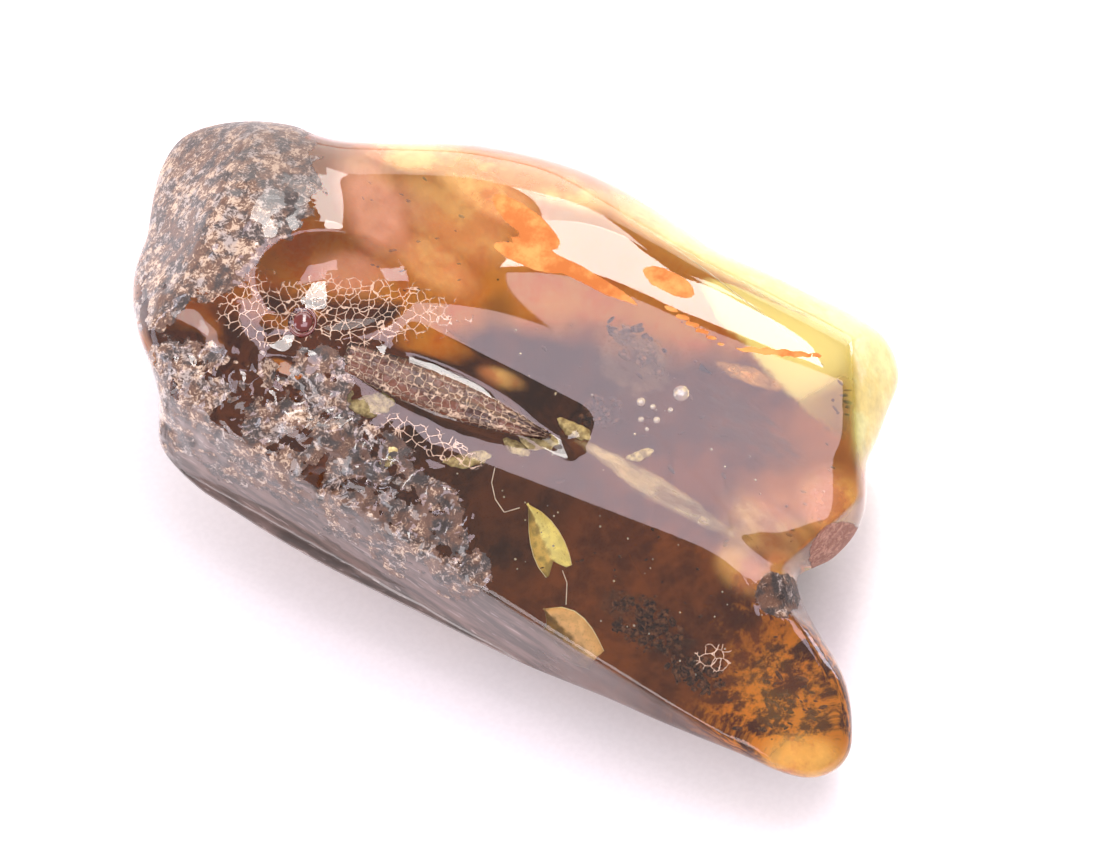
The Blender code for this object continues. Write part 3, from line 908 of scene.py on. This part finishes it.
def crust_colour(f, place):
    """Granular grey, cream and brown crust, seen under its polish, and how far its grains stand up."""
    rough = f.wavy(place, 1.1, 0.9)
    grain = f.noise(rough, 1.5, 6.0, 0.68)
    fine = f.noise(rough, 5.5, 3.0, 0.6)
    region = f.noise(place, 0.3)
    tint = f.noise(place, 0.8, 4.0)
    veins = f.cracks(f.wavy(place, 1.6, 0.6), 1.5, 0.1)
    along, across, _ = f.parts(place)
    dusk = (along - across * 0.4).ramp(-24.0, 0.0)
    dark = f.mix(tint.ramp(0.42, 0.6), (0.018, 0.009, 0.006), (0.09, 0.034, 0.014))
    middle = f.mix(tint.ramp(0.38, 0.56), (0.095, 0.06, 0.046), (0.15, 0.07, 0.034))
    pale = f.mix(tint.ramp(0.4, 0.6), (0.34, 0.28, 0.25), (0.5, 0.36, 0.25))
    far = across.ramp(4.0, 14.0)
    share = grain + (fine - 0.5) * 0.6 + (region - 0.5) * 0.4 - dusk * 0.06
    colour = f.mix(share.ramp(0.4, 0.54), dark, middle)
    colour = f.mix((share + veins * 0.06).ramp(0.52, 0.64) * (1 - far * 0.35), colour, pale)
    return f.mix(far * 0.4, colour, (0.07, 0.05, 0.045)), share


def painted_glow_lining_colour(f, place, blotch):
    """The underside's skin as seen from inside, in painted glow and painted shade of the light through the
    amber: orange far away, brown near, golden in the near lobe's tip.
    """
    along, across, _ = f.parts(f.wavy(place, 0.22, 4.0))
    fleck = f.noise(place, 0.9, 5.0, 0.7)
    dark = f.mix(blotch.ramp(0.35, 0.65), (0.03, 0.01, 0.006), (0.12, 0.04, 0.018))
    brown = f.mix(blotch.ramp(0.35, 0.65), (0.09, 0.026, 0.011), (0.24, 0.08, 0.03))
    # painted light and shade: the brown is lighter where this share puts light through the amber, darker
    # elsewhere
    painted_light_share = (along * 1.3 - across * 0.3).ramp(7.0, 15.0).at_least(along.ramp(-7.0, -11.0))
    brown = f.mix(painted_light_share, dark, brown)
    # painted glow: this bright orange stands in for light shining through the amber
    orange = f.mix(blotch.ramp(0.35, 0.6), (0.95, 0.36, 0.11), (1.0, 0.56, 0.28))
    golden = f.mix((fleck + (blotch - 0.5) * 0.6).ramp(0.42, 0.6), (0.07, 0.014, 0.004), (0.85, 0.34, 0.04))
    pink = along.ramp(15.5, 19.5) * across.ramp(2.0, 5.0) * 0.6
    colour = f.mix((along * 0.33 - across - along.ramp(-3.0, -9.0) * 2.5).ramp(-5.5, -9.0), brown, orange)
    colour = f.mix(pink, colour, (0.8, 0.35, 0.2))
    return f.mix((along + (fleck - 0.5) * 8.0).ramp(19.0, 25.0) * across.ramp(1.0, -1.0), colour, golden)


def rind_colour(f, blotch, share):
    """The outer side of the underside's skin: weathered brown and ochre."""
    brown = f.mix(blotch.ramp(0.35, 0.65), (0.07, 0.03, 0.016), (0.2, 0.095, 0.04))
    ochre = f.mix(blotch.ramp(0.4, 0.6), (0.28, 0.15, 0.065), (0.4, 0.25, 0.12))
    return f.mix(share.ramp(0.42, 0.6), brown, ochre)


def side_colour(f):
    """The steep side's smooth skin, with fine streaks along it."""
    streak = f.noise(f.drawing((7, 1, 1)), 1.3, 5.0, 0.6)
    colour = f.mix(streak.ramp(0.35, 0.68), (0.035, 0.018, 0.012), (0.13, 0.078, 0.064))
    scratch = f.noise(f.drawing((14, 1, 1)), 4.0, 2.0)
    return f.mix(scratch.ramp(0.64, 0.7) * 0.4, colour, (0.35, 0.27, 0.25))


def cloud_and_glow_colour(f, place, blotch):
    """Cloudy amber coloured with painted glow, as if sunlit: orange on the left, lemon along the far rim
    and golden in the lobes.
    """
    along, across, _ = f.parts(place)
    orange = f.mix(blotch.ramp(0.4, 0.6), (0.62, 0.2, 0.035), (0.75, 0.42, 0.1))
    lemon = f.mix(blotch.ramp(0.4, 0.6), (0.6, 0.45, 0.04), (0.62, 0.58, 0.14))
    golden = f.mix(blotch.ramp(0.42, 0.58), (0.4, 0.12, 0.014), (0.6, 0.3, 0.04))
    colour = f.mix(along.ramp(-3.0, 6.0), orange, lemon)
    colour = f.mix(along.ramp(-12.0, -16.0) * across.ramp(13.5, 11.0), colour, (0.62, 0.27, 0.15))
    return f.mix((across - along * 0.3).ramp(6.0, 3.0), colour, golden)


def resin_volume(f):
    """The resin's own colour, deeper the further light goes through it."""
    most = max(ABSORBED)
    tint = (*[1 - a / most * STRONGEST_TINT for a in ABSORBED], 1)
    return f.node("ShaderNodeVolumeAbsorption", None, tint, most / STRONGEST_TINT / MM)


def amber_finish():
    """Clear resin, with crust, nets, side skin, clouds and lining where the surface keeps them; the
    lining's inner side, the clouds and the islands in the far shine are coloured with painted glow.
    """
    f = Finish("amber_and_crust")
    place = f.drawing()
    lining, net, side = f.kept("lining"), f.kept("net"), f.kept("side")
    blotch = f.noise(place, 0.25, 5.0, 0.65)
    edge = f.noise(place, 0.9, 4.0, 0.6)
    hole = f.noise(place, 0.42, 3.0, 0.6)
    along, across, _ = f.parts(place)
    back = lining.ramp(-0.6, -0.3)
    near = across.ramp(0.0, -3.0) * (1 - back)
    crust = (f.kept("crust") + (edge - 0.5) * 1.3 - near * hole.ramp(0.5, 0.62) * 0.9).ramp(0.42, 0.56)
    skin = (lining + (blotch - 0.5) * 0.9).ramp(0.35, 0.65) * lining.ramp(-0.1, 0.1)
    clouded = (side + (edge - 0.5) * 0.4).ramp(0.35, 0.6) * (1 - along.ramp(4.0, 20.0) * 0.6)
    wall = (f.kept("wall") + (edge - 0.5) * 0.8).ramp(0.4, 0.6)
    lines = f.cracks(f.wavy(place, 1.3, 0.45), 1.45, 0.056) * (net + (edge - 0.5) * 1.0).ramp(0.42, 0.56)

    granular, share = crust_colour(f, place)
    granular = f.mix(wall, granular, f.mix(share.ramp(0.4, 0.6), (0.26, 0.09, 0.05), (0.5, 0.25, 0.17)))
    grainy = crust.at_least(wall)
    colour = f.mix(grainy, f.mix(lines, side_colour(f), (0.6, 0.42, 0.3)), granular)
    bump = f.bump(0.6, GRAIN_HEIGHT, share * grainy)
    gloss = (1 - across.ramp(2.0, 10.0) * 0.75) * (1 - along.ramp(15.0, 19.0))
    gloss = gloss * (1 - along.ramp(-27.0, -31.0) * 0.6)
    covered = f.surface(
        Base_Color=colour, Roughness=0.55, Coat_Weight=gloss, Coat_Roughness=0.04, Coat_IOR=IOR, Normal=bump
    )
    # the skin's inner side, seen through the amber, in painted glow and painted shade
    skin_inside_with_painted_glow = f.surface(Base_Color=painted_glow_lining_colour(f, place, blotch), Roughness=0.7, Specular_IOR_Level=0.1)
    cloud, cloud_and_painted_glow_colour = f.kept("cloud"), cloud_and_glow_colour(f, place, blotch)
    # the cloudy amber's bright colours are painted glow
    cloudy = f.surface(Base_Color=cloud_and_painted_glow_colour, Roughness=0.4, Coat_Weight=1.0, Coat_IOR=IOR)
    # where the cloud reaches the underside, its painted glow shows from outside too
    rind = f.mix((cloud + (blotch - 0.5) * 0.8).ramp(0.3, 0.5), rind_colour(f, blotch, share), cloud_and_painted_glow_colour)
    rind = f.mix(crust, f.mix(clouded, rind, side_colour(f)), granular)
    bump = f.bump(0.6, GRAIN_HEIGHT, share)
    rind = f.surface(Base_Color=rind, Roughness=0.6, Coat_Weight=0.2, Coat_Roughness=0.2, Normal=bump)
    # Backfacing picks the painted-glow copy of the skin inside and the plain rind outside
    inside = f.node("ShaderNodeNewGeometry", output="Backfacing")
    rough = 0.02 + back * 0.3
    clear = f.surface(Base_Color=(1, 1, 1, 1), Roughness=rough, IOR=IOR, Transmission_Weight=1.0)
    haze = cloud * (edge + 0.5) * (1 - back * inside)
    body = f.blend(haze, clear, cloudy)
    front = f.blend(grainy.at_least(clouded).at_least(lines * 0.7), body, covered)
    # painted gaps in the far highlight: matte patches coloured as the glowing amber
    painted_shine_gap_colour = f.mix(blotch.ramp(0.4, 0.6), (0.42, 0.12, 0.02), (0.62, 0.27, 0.07))
    painted_shine_gap = f.surface(Base_Color=painted_shine_gap_colour, Roughness=0.6, Specular_IOR_Level=0.2)
    island = (f.kept("island") + (edge - 0.5) * 0.5).ramp(0.42, 0.54)
    front = f.blend(island, front, painted_shine_gap)
    return f.finish(f.blend(skin, front, f.blend(inside, rind, skin_inside_with_painted_glow)), resin_volume(f))


def spindle_finish():
    """Dark red cells between pale crumbling walls, under a gloss."""
    f = Finish("crackled_spindle_finish")
    place = f.drawing()
    rows = f.node("ShaderNodeCombineXYZ", None, f.kept("along") * SPINDLE_CELLS_PER_MM, f.kept("row"))
    walls = f.cracks(f.wavy(rows, 1.3, 0.35), 1.0, 0.08, 0.6)
    ridge = f.kept("ridge")
    dust = f.noise(place, 3.0, 5.0, 0.7)
    pale = (ridge.ramp(0.7, 1.0) * dust.ramp(0.4, 0.6)).at_least(walls)
    cell = f.mix(f.noise(place, 0.5).ramp(0.4, 0.6), (0.045, 0.014, 0.008), (0.12, 0.035, 0.014))
    crumbly = f.mix(dust.ramp(0.3, 0.65), (0.12, 0.062, 0.036), (0.52, 0.36, 0.25))
    bump = f.bump(0.8, 0.3 * MM, pale)
    colour = f.mix(pale, cell, crumbly)
    crumbly = f.surface(Base_Color=colour, Roughness=0.5, Coat_Weight=0.2, Coat_Roughness=0.1, Normal=bump)
    return f.finish(crumbly)


def leaf_finish(name, pale, olive):
    """Dry leaf, pale on one side of its midrib and olive-brown on the other, with a pale rim that is partly
    painted highlight.
    """
    f = Finish(name)
    place = f.drawing()
    across = f.kept("across")
    mottle, fine = f.noise(place, 1.1), f.noise(place, 5.0)
    pale = f.mix(mottle.ramp(0.38, 0.62), times(pale, 0.8), pale)
    olive = f.mix(mottle.ramp(0.4, 0.6), times(olive, 0.5), olive)
    colour = f.mix((across + (mottle - 0.5) * 0.8).ramp(-0.2, 0.05), olive, pale)
    colour = f.mix(fine.ramp(0.55, 0.75) * 0.45, colour, (0.35, 0.22, 0.06))
    # the pale rim is partly painted highlight, the bright line of light along the leaf's edge
    colour = f.mix((across * across).ramp(0.84, 0.94), colour, (0.95, 0.88, 0.7))
    bump = f.bump(0.4, 0.2 * MM, fine)
    return f.finish(f.surface(Base_Color=colour, Roughness=0.45, Normal=bump))


def speckled_finish(name, grain, contrast, dark, pale, **looks):
    """Specks of a pale tone on a dark one."""
    f = Finish(name)
    tone = f.mix(f.noise(f.drawing(), *grain).ramp(*contrast), dark, pale)
    return f.finish(f.surface(Base_Color=tone, **looks))


def crumb_finish(name, colour):
    tones = times(colour, 0.6), times(colour, 3.2)
    return speckled_finish(name, (3.0, 4.0), (0.4, 0.68), *tones, Roughness=0.8, Specular_IOR_Level=0.15)


def flake_finish():
    tones = (0.3, 0.2, 0.06), (0.7, 0.58, 0.26)
    return speckled_finish("pale_flake_finish", (2.2, 4.0, 0.6), (0.35, 0.65), *tones, Roughness=0.5)


def speck_finish():
    f = Finish("bubble_finish")
    return f.finish(f.surface(Base_Color=(0.9, 0.86, 0.82, 1), Roughness=0.08, Metallic=0.6))


def flat_finish(name, colour, roughness, darkest=0.75):
    """A finish with a little uneven tone."""
    tones = times(colour, darkest), colour
    return speckled_finish(name, (2.5, 3.0), (0.35, 0.65), *tones, Roughness=roughness, Coat_Weight=0.5)


def wisp_finish(name, colour, grain, stretch, amount):
    """Dust that thins out to nothing at the sheet's edge."""
    f = Finish(name)
    place = f.wavy(f.drawing((stretch, 1, 1)), 0.5, 0.8)
    cloud = f.noise(place, grain, 6.0, 0.75) + (f.kept("inside").ramp(0, 0.55) - 1) * 0.35
    alpha = cloud.ramp(0.56 - amount, 0.8 - amount * 0.5) * 0.5
    tone = f.mix(f.noise(place, grain * 2.0, 4.0).ramp(0.35, 0.65), times(colour, 0.45), colour)
    return f.finish(f.surface(Base_Color=tone, Roughness=0.9, Alpha=alpha))


CAMERA_AWAY = 1.2
CAMERA_LENS = 543.0
CAMERA_SENSOR = 36.0
SIGHT_CENTRE = (2.96, 1.46)  # the middle of the picture in the view

LAVENDER, MAUVE, WARM, ROSE = (0.9, 0.87, 1.0), (1.0, 0.82, 0.93), (1.0, 0.97, 0.95), (1.0, 0.95, 0.98)
# Soft lights: (elevation and side in degrees, distance, (width, height), brightness of the face, colour)
SOFTBOXES = {
    "far": (109.5, 6.5, 0.5, (0.105, 0.15), 15.0, WARM),
    "rim": (127.0, 7.5, 0.5, (0.114, 0.16), 10.0, WARM),
    "top": (88.0, 13.5, 0.5, (0.222, 0.194), 5.3, MAUVE),
    "low": (83.5, -4.0, 0.5, (0.0874, 0.114), 5.3, MAUVE),
    "fill": (70.0, -66.0, 0.5, (0.3, 0.3), 3.6, LAVENDER),
    "back": (157.0, 4.0, 0.6, (0.9, 0.45), 2.8, WARM),
    "left": (92.0, -44.0, 0.5, (0.12, 0.09), 7.0, LAVENDER),
    "right": (165.0, 52.0, 0.5, (0.16, 0.1), 7.0, LAVENDER),
    "front": (30.0, -45.0, 0.6, (0.5, 0.3), 4.9, ROSE),
}
WORLD_COLOUR = (1.0, 0.94, 0.97, 1)
WORLD_BRIGHTNESS = 0.8
FLOOR_SIZE = 4.0


def towards(elevation, side):
    """A direction from the stone, in degrees: 90 is overhead, and more than 90 is beyond the stone."""
    e, b = math.radians(elevation), math.radians(side)
    right, up = sight_axes()[0], Vector((0, 0, 1))
    return (right.cross(up) * math.cos(e) + up * math.sin(e)) * math.cos(b) + right * math.sin(b)


def add_camera():
    camera = new_object("camera", bpy.data.cameras.new("camera"))
    camera.data.lens = CAMERA_LENS
    camera.data.sensor_width = CAMERA_SENSOR
    camera.data.clip_end = 10.0
    axes = sight_axes()
    middle = stand_up() @ Vector((*SIGHT_CENTRE, RIM_W))
    camera.matrix_world = Matrix.Translation(middle + axes[2] * CAMERA_AWAY) @ facing(axes)
    bpy.context.scene.camera = camera


def add_softbox(name, elevation, side, away, size, brightness, colour):
    """A soft rectangular light that faces the stone, with the brightness of its face."""
    data = bpy.data.lights.new(name, "AREA")
    data.shape = "RECTANGLE"
    data.size, data.size_y = size
    data.energy = brightness * math.pi * size[0] * size[1]
    data.color = colour
    light = new_object(name, data)
    way = towards(elevation, side)
    right = towards(0, 90)
    across = (right - way * right.dot(way)).normalized()
    light.matrix_world = Matrix.Translation(way * away) @ facing((across, way.cross(across), way))


def add_surroundings():
    bpy.ops.mesh.primitive_plane_add(size=FLOOR_SIZE, location=(0, 0, -0.0001))
    floor = new_piece("floor")
    floor.data.materials.append(flat_finish("floor_finish", (0.9, 0.88, 0.9), 0.8, 0.97))
    world = bpy.data.worlds.new("studio")
    bpy.context.scene.world = world
    world.use_nodes = True
    background = world.node_tree.nodes["Background"]
    background.inputs["Color"].default_value = WORLD_COLOUR
    background.inputs["Strength"].default_value = WORLD_BRIGHTNESS
    for name, softbox in SOFTBOXES.items():
        add_softbox(name + "_softbox", *softbox)


def main():
    add_camera()
    add_surroundings()
    amber_stone()
    crackled_spindle()
    for name in LEAF_SCALES:
        leaf_scale(name)
    bark = crumb_finish("bark_crumb_finish", (0.06, 0.024, 0.012))
    fibre = crumb_finish("fibre_finish", (0.1, 0.05, 0.03))
    for name in CRUMB_HEAPS:
        if name.startswith("bark"):
            crumb_heap(name, bark, "bark_crumb")
        else:
            crumb_heap(name, fibre, "fibre")
    lobe_flecks()
    bubbles()
    pale_flakes()
    for name in WISPS:
        wisp_sheets(name)
    hair_cracks()
    red_bead()


main()
scene = bpy.context.scene
scene.view_settings.view_transform = "Standard"
scene.cycles.max_bounces = 20
scene.cycles.glossy_bounces = 12
scene.cycles.transmission_bounces = 16
